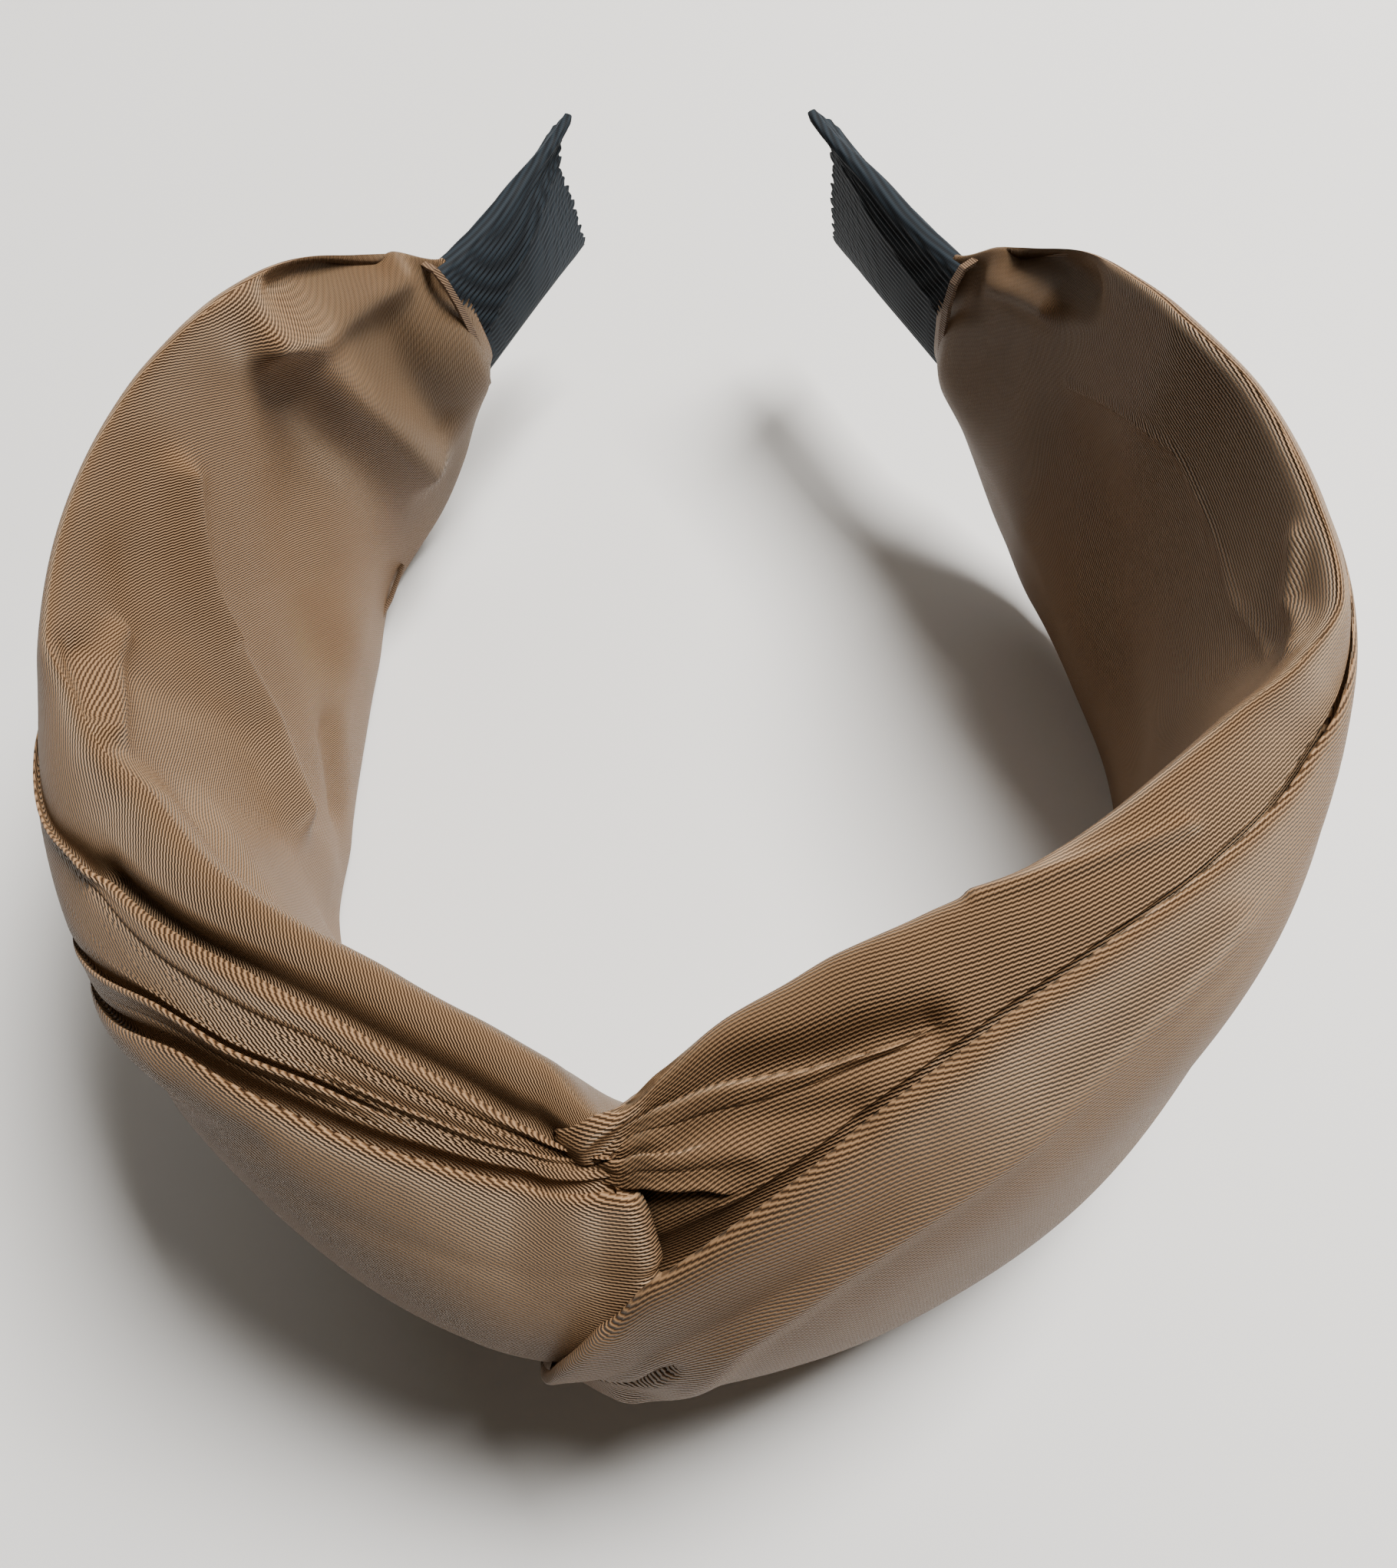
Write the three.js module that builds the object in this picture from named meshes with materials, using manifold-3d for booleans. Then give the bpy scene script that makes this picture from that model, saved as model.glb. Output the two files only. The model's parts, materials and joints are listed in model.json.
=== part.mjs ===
// Twist headband: a springy plastic hoop inside two gathered satin sleeves that cross at a knot.
// Millimetres, +Z up. The band lies on one edge, with the knot towards -Y and the tips towards +Y.
import * as THREE from 'three';
import { mergeVertices } from 'three/addons/utils/BufferGeometryUtils.js';
import Module from 'manifold-3d';

const wasm = await Module();
wasm.setup();

// Plan of the hoop: on each side one round arc from the crown, then an end that bends back a little.
const HOOP_R = 60;
const HOOP_SWEEP = THREE.MathUtils.degToRad(130);
const END_RUN = 45;
const END_R = 215;
const TIP_SET = 9.5; // the whole hoop has taken a set to the left, this much at the tips

// Heights: the satin is BAND_H across and the hoop runs along its middle.
const BAND_H = 70;
const MID_Z = BAND_H / 2;
const HOOP_T = 1.8;
const HOOP_W = 25;
const HOOP_TIP_W = 18;
const CROWN_LEAN = -0.45; // the satin's lean outwards per mm of height beyond the hoop's edges
const ARM_LEAN = 0.26;

// Lengths along the hoop, from the crown centre.
const FLEX_S = HOOP_R * Math.PI / 4; // where the spring of the hoop is lumped
const SIDE_S = HOOP_R * Math.PI / 2; // where the band is widest
const ARC_S = HOOP_R * HOOP_SWEEP;
const TIP_S = ARC_S + END_RUN;
const RIBBON_W = 26; // ribbon seen beyond the satin
const NECK_S = TIP_S - RIBBON_W; // where the satin ends
const TAPER_S = NECK_S - 36; // where the satin starts to draw in to its neck

// Working clearances.
const GAP = 0.4; // between pieces that touch
const FLEX_GAP = 1.2; // at the flex line, on the hoop's own surface
const OPEN_ANGLE = THREE.MathUtils.degToRad(25); // clearance wedge for a hoop pulled open
const CLOSE_ANGLE = THREE.MathUtils.degToRad(8); // and for a hoop squeezed shut

const SATIN = new THREE.MeshStandardMaterial({ color: 0xb08a66, roughness: 0.42 });
const RIBBON = new THREE.MeshStandardMaterial({ color: 0x1b222d, roughness: 0.8 });
const PLASTIC = new THREE.MeshStandardMaterial({ color: 0x2a2724, roughness: 0.55 });
const THREAD = new THREE.MeshStandardMaterial({ color: 0x9c7a58, roughness: 0.7 });
const WADDING = new THREE.MeshStandardMaterial({ color: 0xe9e4da, roughness: 0.95 });

const headband = new THREE.Group();

// ---------------------------------------------------------------- the hoop's centre line

// The end of an arc of radius r and angle sweep that starts at p with the given heading.
function arcEnd(p, heading, r, sweep) {
  const x = p.x + r * (Math.sin(heading + sweep) - Math.sin(heading));
  const y = p.y - r * (Math.cos(heading + sweep) - Math.cos(heading));
  return new THREE.Vector2(x, y);
}

// The plan point at distance s >= 0 from the crown, before the set.
function planPoint(s) {
  const round = arcEnd(new THREE.Vector2(0, 0), 0, HOOP_R, Math.min(s, ARC_S) / HOOP_R);
  return s > ARC_S ? arcEnd(round, HOOP_SWEEP, -END_R, (ARC_S - s) / END_R) : round;
}

const TIP_Y = planPoint(TIP_S).y;

// The centre line at signed distance s, positive on the right.
function hoopPoint(s) {
  const p = planPoint(Math.abs(s));
  return new THREE.Vector2(Math.sign(s) * p.x - TIP_SET * (p.y / TIP_Y) ** 2, p.y);
}

// The point, the direction of growing s and the outward normal at s.
function hoopFrame(s) {
  const step = 0.05;
  const along = hoopPoint(s + step).sub(hoopPoint(s - step)).normalize();
  return { at: hoopPoint(s), along, out: new THREE.Vector2(along.y, -along.x) };
}

// ---------------------------------------------------------------- solids swept along it

// A closed ring of [n, z] points: a rounded outline between low and high, thick[0] deep inside
// the centre line and thick[1] outside it, leaning by lean(z). Its top and bottom are flat, and
// a smaller power gives it squarer shoulders.
function lensRing(low, high, thick, { lean = () => 0, power = 0.7, sides = 16 } = {}) {
  const half = Math.PI / sides;
  const ring = [];
  for (let i = 0; i < sides; i++) {
    const a = -Math.PI / 2 + half + (2 * Math.PI * i) / sides;
    const z = (low + high) / 2 + ((high - low) / 2) * (Math.sin(a) / Math.cos(half));
    const side = Math.cos(a) > 0 ? thick[1] : -thick[0];
    ring.push([lean(z) + side * Math.abs(Math.cos(a)) ** power, z]);
  }
  return ring;
}

// The satin stands straight over the hoop's own width and leans only beyond its edges.
function leanBeyondHoop(slope) {
  const free = (z) => Math.sign(z - MID_Z) * Math.max(0, Math.abs(z - MID_Z) - HOOP_W / 2 - 2);
  return (z) => slope * free(z);
}

function boxRing(low, high, inner, outer) {
  return [[inner, low], [outer, low], [outer, high], [inner, high]];
}

// A solid from stations [s, ring, hole], every ring with as many points, hole being optional.
function sweep(stations) {
  const sides = stations[0][1].length;
  const hollow = stations[0].length > 2;
  const points = [];
  for (const [s, ...rings] of stations) {
    const f = hoopFrame(s);
    for (const ring of rings) {
      for (const [n, z] of ring) points.push(f.at.x + f.out.x * n, f.at.y + f.out.y * n, z);
    }
  }
  const stride = sides * (hollow ? 2 : 1);
  const last = (stations.length - 1) * stride;
  const faces = [];
  const quad = (a, b, c, d) => faces.push(a, b, c, a, c, d);
  for (let k = 0; k < last; k += stride) {
    for (let i = 0; i < sides; i++) {
      const j = (i + 1) % sides;
      quad(k + i, k + j, k + stride + j, k + stride + i);
      if (hollow) quad(k + sides + j, k + sides + i, k + stride + sides + i, k + stride + sides + j);
    }
  }
  for (let i = 0; i < sides; i++) {
    const j = (i + 1) % sides;
    if (hollow) {
      quad(j, i, sides + i, sides + j);
      quad(last + i, last + j, last + sides + j, last + sides + i);
    } else if (i > 0 && j > 0) {
      faces.push(0, j, i, last, last + i, last + j);
    }
  }
  const geometry = new THREE.BufferGeometry();
  geometry.setAttribute('position', new THREE.Float32BufferAttribute(points, 3));
  geometry.setIndex(faces);
  if (volume(geometry) < 0) geometry.index.array.reverse();
  return geometry;
}

function volume(geometry) {
  const p = geometry.attributes.position;
  const corner = [0, 1, 2].map(() => new THREE.Vector3());
  let total = 0;
  for (let i = 0; i < geometry.index.count; i += 3) {
    corner.forEach((v, k) => v.fromBufferAttribute(p, geometry.index.getX(i + k)));
    total += corner[0].dot(corner[1].clone().cross(corner[2])) / 6;
  }
  return total;
}

// Evenly spaced distances from a to b, about step apart.
function stretch(a, b, step) {
  const count = Math.max(1, Math.round(Math.abs(b - a) / step));
  return Array.from({ length: count + 1 }, (_, i) => a + ((b - a) * i) / count);
}

function toSolid(geometry) {
  const clean = geometry.clone();
  clean.deleteAttribute('normal');
  clean.deleteAttribute('uv');
  const merged = mergeVertices(clean);
  const vertProperties = new Float32Array(merged.attributes.position.array);
  const triVerts = new Uint32Array(merged.index.array);
  return new wasm.Manifold(new wasm.Mesh({ numProp: 3, vertProperties, triVerts }));
}

function toGeometry(solid) {
  const mesh = solid.getMesh();
  const geometry = new THREE.BufferGeometry();
  geometry.setAttribute('position', new THREE.Float32BufferAttribute(mesh.vertProperties, 3));
  geometry.setIndex(Array.from(mesh.triVerts));
  return geometry;
}

// An upright prism over a plan outline, taller than the band.
function uprightPrism(outline) {
  const shape = new THREE.Shape(outline.map(([x, y]) => new THREE.Vector2(x, y)));
  const prism = new THREE.ExtrudeGeometry(shape, { depth: 3 * BAND_H, bevelEnabled: false });
  return prism.translate(0, 0, -BAND_H);
}

// The wedge of space that the flex line on one side needs, reaching into the arm.
function flexWedge(side) {
  const f = hoopFrame(side * FLEX_S);
  const reach = 40;
  const half = FLEX_GAP / 2;
  const local = [
    [-half, -reach], [-half, reach], [half + reach * Math.tan(OPEN_ANGLE), reach],
    [half, 0], [half + reach * Math.tan(CLOSE_ANGLE), -reach],
  ];
  return uprightPrism(local.map(([t, n]) => [
    f.at.x + f.along.x * t * side + f.out.x * n,
    f.at.y + f.along.y * t * side + f.out.y * n,
  ]));
}

function add(name, geometry, material) {
  const mesh = new THREE.Mesh(geometry, material);
  mesh.name = name;
  headband.add(mesh);
}

// ---------------------------------------------------------------- hoop and wadding

function hoopRing(s) {
  const taper = THREE.MathUtils.smoothstep(Math.abs(s), FLEX_S, TIP_S);
  const end = Math.max(0, (Math.abs(s) - (TIP_S - HOOP_TIP_W / 2)) / (HOOP_TIP_W / 2));
  const round = Math.sqrt(1 - Math.min(end, 0.95) ** 2);
  const half = (THREE.MathUtils.lerp(HOOP_W, HOOP_TIP_W, taper) / 2) * round;
  return boxRing(MID_Z - half, MID_Z + half, -HOOP_T / 2, HOOP_T / 2);
}

function hoopStrip(a, b) {
  return sweep(stretch(a, b, 2.5).map((s) => [s, hoopRing(s)]));
}

function crownWadding() {
  const reach = FLEX_S - 6;
  const stations = stretch(-reach, reach, 3).map((s) => {
    const end = THREE.MathUtils.smoothstep(reach - Math.abs(s), 0, 14);
    const depth = HOOP_T / 2 + GAP + THREE.MathUtils.lerp(3, 8.5, end);
    return [s, boxRing(MID_Z - 11, MID_Z + 11, HOOP_T / 2 + GAP, depth)];
  });
  return sweep(stations);
}

// ---------------------------------------------------------------- satin over the arms

// The outline of a sleeve at s: its full height, then drawn in to the neck at the ribbon.
function sleeveRings(s) {
  const drawn = THREE.MathUtils.smoothstep(Math.abs(s), TAPER_S, NECK_S);
  const bulk = THREE.MathUtils.smoothstep(Math.abs(s), FLEX_S, SIDE_S);
  const low = THREE.MathUtils.lerp(0, MID_Z - 11.5, drawn);
  const high = THREE.MathUtils.lerp(BAND_H, MID_Z + 11.5, drawn);
  const deep = THREE.MathUtils.lerp(THREE.MathUtils.lerp(15, 6, bulk), 2.6, drawn);
  // the crown's satin leans in at the top, the arm's leans in at the bottom
  const lean = leanBeyondHoop(THREE.MathUtils.lerp(CROWN_LEAN, ARM_LEAN, bulk) * (1 - drawn));
  const ply = THREE.MathUtils.lerp(1.6, 0.9, drawn);
  const inner = THREE.MathUtils.lerp(3.4, 2.3, drawn);
  const outer = lensRing(low, high, [inner + 0.6, deep + 0.6], { lean });
  const edge = THREE.MathUtils.lerp(4, 1.1, drawn);
  const slack = HOOP_T / 2 + GAP + 0.2;
  const roomIn = Math.max(inner - ply + 0.6, slack);
  const roomOut = Math.max(deep - ply, slack);
  return [outer, lensRing(low + edge, high - edge, [roomIn, roomOut], { lean, power: 0.4 })];
}

function sleeve(side) {
  const stations = stretch(side * FLEX_S, side * NECK_S, 5).map((s) => [s, ...sleeveRings(s)]);
  return toGeometry(toSolid(sweep(stations)).subtract(toSolid(flexWedge(side))));
}

// ---------------------------------------------------------------- satin over the crown

// The crown's satin leans in at the top, stands well out in front, and narrows to the knot.
function crownRings(s) {
  const pinch = 1 - THREE.MathUtils.smoothstep(Math.abs(s), 4, 30);
  const low = THREE.MathUtils.lerp(0, 10, pinch);
  const high = THREE.MathUtils.lerp(BAND_H, 60, pinch);
  const lean = leanBeyondHoop(CROWN_LEAN * (1 - 0.7 * pinch));
  const deep = THREE.MathUtils.lerp(16, 23, pinch);
  const outer = lensRing(low, high, [4.2, deep], { lean, power: 0.9 });
  return [outer, lensRing(MID_Z - 19, MID_Z + 19, [2.6, 13])];
}

function crownRoll() {
  const reach = FLEX_S - FLEX_GAP / 2;
  return toSolid(sweep(stretch(-reach, reach, 4).map((s) => [s, ...crownRings(s)])));
}

// Everything left of the twist line, which runs to a point on the right at mid height.
function leftOfTwist(shift) {
  const outline = [[-90, -9], [-7, -9], [-7, 12], [9, 40], [-5, BAND_H - 8], [-5, 80], [-90, 80]];
  const shape = new THREE.Shape(outline.map(([x, z]) => new THREE.Vector2(x + shift, z)));
  const prism = new THREE.ExtrudeGeometry(shape, { depth: 120, bevelEnabled: false });
  return toSolid(prism.rotateX(Math.PI / 2).translate(0, 60, 0));
}

// ---------------------------------------------------------------- ribbon and thread

function ribbonTube(side) {
  const stations = stretch(side * (NECK_S + GAP), side * (TIP_S + 1.2), 3).map((s) => [
    s,
    lensRing(MID_Z - 11.2, MID_Z + 11.2, [2.9, 2.9]),
    lensRing(MID_Z - 10.3, MID_Z + 10.3, [2.2, 2.2]),
  ]);
  return sweep(stations);
}

// The tube's closing seam, a thread inside the fold of the lower edge.
function seamThread(side) {
  const stations = stretch(side * (FLEX_S + 24), side * (TAPER_S + 6), 6).map((s) => {
    const [, hole] = sleeveRings(s);
    const low = Math.min(...hole.map(([, z]) => z));
    const foot = hole.filter(([, z]) => z === low);
    const n = (foot[0][0] + foot[foot.length - 1][0]) / 2;
    return [s, lensRing(low + 1.2, low + 2, [0.4, 0.4], { lean: () => n, sides: 8 })];
  });
  return sweep(stations);
}

// The gathering thread, drawn tight round the neck in the last of the satin's hollow.
function gatherThread(side) {
  const stations = [NECK_S - 3, NECK_S - 2].map((d) => {
    const [outer] = sleeveRings(side * d);
    const low = Math.min(...outer.map(([, z]) => z));
    const high = Math.max(...outer.map(([, z]) => z));
    return [
      side * d,
      lensRing(low - 1.1, high + 1.1, [4.2, 4.6]),
      lensRing(low - 0.5, high + 0.5, [3.5, 3.9]),
    ];
  });
  return sweep(stations);
}

// The tack that holds the crossed satin together, a short zigzag behind the knot.
function tackThread() {
  const points = [];
  for (let i = 0; i <= 8; i++) {
    const f = hoopFrame(-6 + 1.5 * i);
    const n = -6.2;
    points.push(new THREE.Vector3(f.at.x + f.out.x * n, f.at.y + f.out.y * n, MID_Z + (i % 2 ? 3 : -3)));
  }
  const shape = new THREE.Shape();
  shape.absarc(0, 0, 0.4, 0, 2 * Math.PI);
  const path = new THREE.CatmullRomCurve3(points, false, 'catmullrom', 0.2);
  return new THREE.ExtrudeGeometry(shape, { extrudePath: path, steps: 64, curveSegments: 4 });
}

// ---------------------------------------------------------------- assembly

add('hoop_crown', hoopStrip(-FLEX_S + FLEX_GAP / 2, FLEX_S - FLEX_GAP / 2), PLASTIC);
add('crown_wadding', crownWadding(), WADDING);
const roll = crownRoll();
add('left_wrap', toGeometry(roll.intersect(leftOfTwist(-GAP / 2))), SATIN);
add('right_wrap', toGeometry(roll.subtract(leftOfTwist(GAP / 2))), SATIN);
add('knot_tack_thread', tackThread(), THREAD);
for (const [hand, side] of [['left', -1], ['right', 1]]) {
  add(`${hand}_hoop_arm`, hoopStrip(side * (FLEX_S + FLEX_GAP / 2), side * TIP_S), PLASTIC);
  add(`${hand}_sleeve`, sleeve(side), SATIN);
  add(`${hand}_seam_thread`, seamThread(side), THREAD);
  add(`${hand}_gather_thread`, gatherThread(side), THREAD);
  add(`${hand}_end_ribbon`, ribbonTube(side), RIBBON);
}

// The origin is under the middle of the whole object, on the surface that it lies on.
const box = new THREE.Box3().setFromObject(headband);
const middle = box.getCenter(new THREE.Vector3());
headband.position.set(-middle.x, -middle.y, -box.min.z);

export default headband;
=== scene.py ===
"""A twist headband: satin folds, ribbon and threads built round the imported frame, in Blender."""

import json
import math

import bmesh
import bpy
import numpy as np
from mathutils import Matrix, Vector


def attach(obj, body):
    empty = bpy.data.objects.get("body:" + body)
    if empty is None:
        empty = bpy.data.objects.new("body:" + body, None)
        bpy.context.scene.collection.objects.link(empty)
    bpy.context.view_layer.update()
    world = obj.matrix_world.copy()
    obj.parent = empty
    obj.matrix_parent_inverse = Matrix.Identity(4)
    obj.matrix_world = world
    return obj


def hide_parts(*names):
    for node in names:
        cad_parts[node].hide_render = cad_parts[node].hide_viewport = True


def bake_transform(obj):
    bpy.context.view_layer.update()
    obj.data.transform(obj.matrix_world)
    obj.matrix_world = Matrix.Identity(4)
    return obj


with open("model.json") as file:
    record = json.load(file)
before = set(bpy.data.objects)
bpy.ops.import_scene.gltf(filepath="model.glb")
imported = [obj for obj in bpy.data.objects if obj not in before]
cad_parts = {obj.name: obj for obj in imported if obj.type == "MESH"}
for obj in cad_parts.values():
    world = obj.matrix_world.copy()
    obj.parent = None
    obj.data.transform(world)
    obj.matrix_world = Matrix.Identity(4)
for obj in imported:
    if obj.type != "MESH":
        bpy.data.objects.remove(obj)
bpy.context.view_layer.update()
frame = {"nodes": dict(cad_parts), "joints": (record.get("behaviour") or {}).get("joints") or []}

# ---------------------------------------------------------------- the hoop, in millimetres

HOOP_R = 60.0
SWEEP = math.radians(130)
END_RUN = 45.0  # the run of each end beyond the round arc
END_R = 215.0  # the radius at which the ends bend back
TIP_SET = 9.5  # the whole hoop has taken a set to the left, this much at the tips
MID_Z = 35.0  # the height of the hoop's middle line
ARC_S = HOOP_R * SWEEP
TIP_S = ARC_S + END_RUN
NECK_S = TIP_S - 26  # where the satin is gathered round the ribbon
FLEX_S = HOOP_R * math.pi / 4  # where each arm bends
SIDES = {"left": -1, "right": 1}


def curve(keys, x):
    """A smooth line through (x, value) keys, without overshoot, and level beyond its ends."""
    px, py = np.array(sorted(keys), float).T
    step = np.diff(px)
    slope = np.diff(py) / step
    m = np.zeros_like(py)
    a, b = slope[:-1], slope[1:]
    m[1:-1] = np.where(a * b > 0, 2 * a * b / np.where(a + b == 0, 1, a + b), 0)
    i = np.clip(np.searchsorted(px, x) - 1, 0, len(step) - 1)
    t = np.clip((np.asarray(x, float) - px[i]) / step[i], 0, 1)
    level = py[i] * (1 + 2 * t) * (1 - t) ** 2 + py[i + 1] * t * t * (3 - 2 * t)
    return level + step[i] * t * (1 - t) * (m[i] * (1 - t) - m[i + 1] * t)


def smooth(x):
    """0 below 0, 1 above 1, and smooth between."""
    x = np.clip(x, 0, 1)
    return x * x * (3 - 2 * x)


def plan(s):
    """The hoop's plan on one side: a round arc, then an end that bends back a little."""
    turn = np.minimum(np.abs(s), ARC_S) / HOOP_R
    back = SWEEP - np.maximum(np.abs(s) - ARC_S, 0) / END_R
    x = HOOP_R * np.sin(turn) + END_R * (math.sin(SWEEP) - np.sin(back))
    y = HOOP_R * (1 - np.cos(turn)) + END_R * (np.cos(back) - math.cos(SWEEP))
    return x, y


def hoop(s):
    """Points of the hoop's middle line, at the distances s from the crown."""
    x, y = plan(s)
    return np.stack([np.sign(s) * x - TIP_SET * (y / plan(TIP_S)[1]) ** 2, y], -1)


def hoop_frame(s):
    """The hoop's points at s, and its directions along and outwards there."""
    along = hoop(s + 0.05) - hoop(s - 0.05)
    along /= np.linalg.norm(along, axis=-1, keepdims=True)
    return hoop(s), along, np.stack([along[..., 1], -along[..., 0]], -1)


def origin():
    """Where the hoop's own origin, the middle of its crown, lies in the frame."""
    hinges = [np.array(j["pos_m"][:2]) * 1000 for j in frame["joints"]]
    return sum(hinges) / 2 - (hoop(-FLEX_S) + hoop(FLEX_S)) / 2


ORIGIN = origin()


def place(s, n, z):
    """Points at distance s along the hoop, n outwards and z up, in metres in the frame."""
    at, _, out = hoop_frame(np.asarray(s, float))
    flat = at + out * np.asarray(n)[..., None] + ORIGIN
    return np.concatenate([flat, np.broadcast_to(z, flat.shape[:-1])[..., None]], -1) / 1000


# ---------------------------------------------------------------- the cloth tube's outline
# Keys are (distance from the crown, outwards, up), and the outline runs over the outside first.

SHOULDER = {
    "left": [(0, 9, 55), (16, 9, 59), (32, 11, 62), (52, 14.5, 60), (66, 14, 60), (80, 12, 60),
             (100, 10.5, 60), (120, 8.5, 59), (132, 7, 56), (142, 5, 52), (151, 3.5, 48),
             (156, 2, 43)],
    "right": [(0, 9, 55), (20, 6, 60), (36, 6, 62), (56, 8.5, 62), (74, 9, 61), (90, 9.8, 60),
              (110, 8, 60), (122, 6.5, 58), (132, 5, 56), (142, 4.5, 52), (151, 3.5, 48),
              (156, 2, 43)],
}
FRONT = {
    "left": [(0, 21, 38), (12, 21.5, 38), (32, 20, 38), (47, 18.5, 38), (62, 14.5, 38),
             (78, 11, 38), (96, 9, 36), (128, 6.5, 35), (151, 5.5, 35), (156, 2.6, 35)],
    "right": [(0, 21, 38), (14, 17.8, 38), (28, 15.2, 38), (46, 13.4, 38), (62, 12, 38),
              (78, 9.5, 38), (96, 8, 36), (128, 6, 35), (151, 5.5, 35), (156, 2.6, 35)],
}
LOW_FRONT = [(0, 17, 18), (32, 14, 13), (47, 12, 12), (62, 9, 12), (78, 5.5, 12), (96, 3, 12),
             (128, 2, 13), (142, 2, 18), (151, 3, 24), (156, 2, 27)]
BOTTOM = {
    "left": [(0, 6, 9), (20, 6, 4), (32, 6, 2), (66, 3, 0.6), (78, -1.5, 0.6), (96, -3.4, 0.6),
             (108, -2.5, 0.8), (124, 1, 2), (134, 0.5, 5), (144, -1, 14), (151, 0, 20.5),
             (156, 0, 24)],
    "right": [(0, 6, 9), (20, 6, 4), (32, 6, 2), (62, 2, 0.6), (80, -2.5, 0.6), (96, -4.8, 0.6),
              (112, -6.3, 1), (127, -6, 3), (138, -4, 8), (146, -2, 15), (151, 0, 20.5),
              (156, 0, 24)],
}
INNER_LOW = {
    "left": [(0, -2, 16), (20, -3, 13), (60, 1, 12), (71, -3, 12), (92, -6.3, 13), (104, -6.2, 13),
             (124, -3.2, 15), (142, -3.2, 20), (151, -4, 25), (156, -2, 27)],
    "right": [(0, -2, 16), (20, -3, 13), (60, -1.5, 12), (80, -4, 12), (94, -6.2, 13),
              (113, -8.8, 14), (130, -7.6, 16), (142, -5, 20), (151, -4, 25), (156, -2, 27)],
}
INNER_MID = [(0, -4, 40), (47, -3.6, 42), (130, -3.4, 42), (142, -3.6, 39),
             (151, -4.8, 36), (156, -2.6, 35)]
TOP_Z = [(0, 60.5), (10, 61.5), (20, 64), (32, 67), (50, 69), (118, 69), (130, 66), (138, 61),
         (145, 55), (151, 50), (156, 46.5)]
ARM_TOP = [(98, 5), (110, 3), (122, 0.3), (130, 0.5), (138, 2.2), (150, 3), (156, 0)]
TOP = {
    "left": [(0, -0.3), (8, -4.6), (17, -6.3), (26, -6.5), (36, -5.2), (47, -3), (58, -1.3),
             (66, 2.2), (73, 4), (80, 6.3), (88, 6), *ARM_TOP],
    "right": [(0, -0.6), (4, -4.2), (12, -9.4), (18, -10.9), (26, -12), (36, -11.4), (47, -9.3),
              (64, -5.3), (74, -1.3), (81, 3.4), (88, 6.6), *ARM_TOP],
}
SPAN = 30  # points between two neighbouring keys of an outline
LOWEST = 4  # the key of an outline that lies at the bottom


def keyed(keys, t):
    """The points (n, z) at the distances t, from (t, n, z) keys."""
    return np.stack([curve([(k[0], k[i]) for k in keys], t) for i in (1, 2)], -1)


def outline(hand, t):
    """The cloth's smooth closed outlines at the distances t, as (n, z) points."""
    t = np.maximum(t, 0)
    top = np.stack([curve(TOP[hand], t), curve(TOP_Z, t)], -1)
    middle = keyed(INNER_MID, t)
    inner_top = middle * 0.35 + top * 0.65
    inner_top[:, 0] -= 0.8
    sides = (SHOULDER[hand], FRONT[hand], LOW_FRONT, BOTTOM[hand], INNER_LOW[hand])
    keys = [keyed(k, t) for k in sides]
    return rounded(np.stack([top, *keys, middle, inner_top], 1))


def rounded(p):
    """Smooth closed lines through the points p, each starting and ending at its first point."""
    ahead, behind = np.roll(p, -1, 1), np.roll(p, 1, 1)
    size = np.linalg.norm(ahead - p, axis=2, keepdims=True)
    size_back = np.roll(size, 1, 1)
    slope = (p - behind) / size_back * size + (ahead - p) / size * size_back
    slope /= size + size_back
    t = (np.arange(SPAN) / SPAN)[None, None, :, None]
    here, there, size = p[:, :, None], ahead[:, :, None], size[:, :, None]
    m0, m1 = slope[:, :, None], np.roll(slope, -1, 1)[:, :, None]
    line = here * (1 + 2 * t) * (1 - t) ** 2 + there * t * t * (3 - 2 * t)
    line = line + size * t * (1 - t) * (m0 * (1 - t) - m1 * t)
    line = line.reshape(len(p), -1, 2)
    return np.concatenate([line, line[:, :1]], 1)


# ---------------------------------------------------------------- folds
# One fold, from the layer above down to the rolled edge of the layer below. Its columns are the
# place along the outline, the share of the fold's depth, how far it sinks, and how far it rises.

FOLD = np.array([
    (-5.0, 0.00, 0.00, 0.00),
    (-2.6, 0.00, -0.25, 0.00),
    (-1.2, 0.05, -0.80, 0.00),
    (-0.6, 0.30, -1.30, 0.00),
    (-0.4, 0.70, -1.60, 0.00),
    (-0.2, 1.00, -1.50, 0.00),
    (0.0, 1.06, -1.00, 0.05),
    (0.2, 0.70, -0.50, 0.20),
    (0.4, 0.25, -0.20, 0.35),
    (0.5, -0.12, 0.00, 0.55),
    (0.9, -0.08, 0.25, 0.95),
    (2.0, 0.00, 0.20, 1.05),
    (4.5, 0.00, 0.05, 0.75),
    (8.0, 0.00, 0.00, 0.25),
])
FINE = 3  # points between two neighbouring nodes of a folded outline
CLOSE = 0.6  # the least distance between two folds
TAKES = 0.42  # the most a fold takes of the room on either side of it
DEEPEST = 0.8  # the most it takes of the room it goes under


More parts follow.
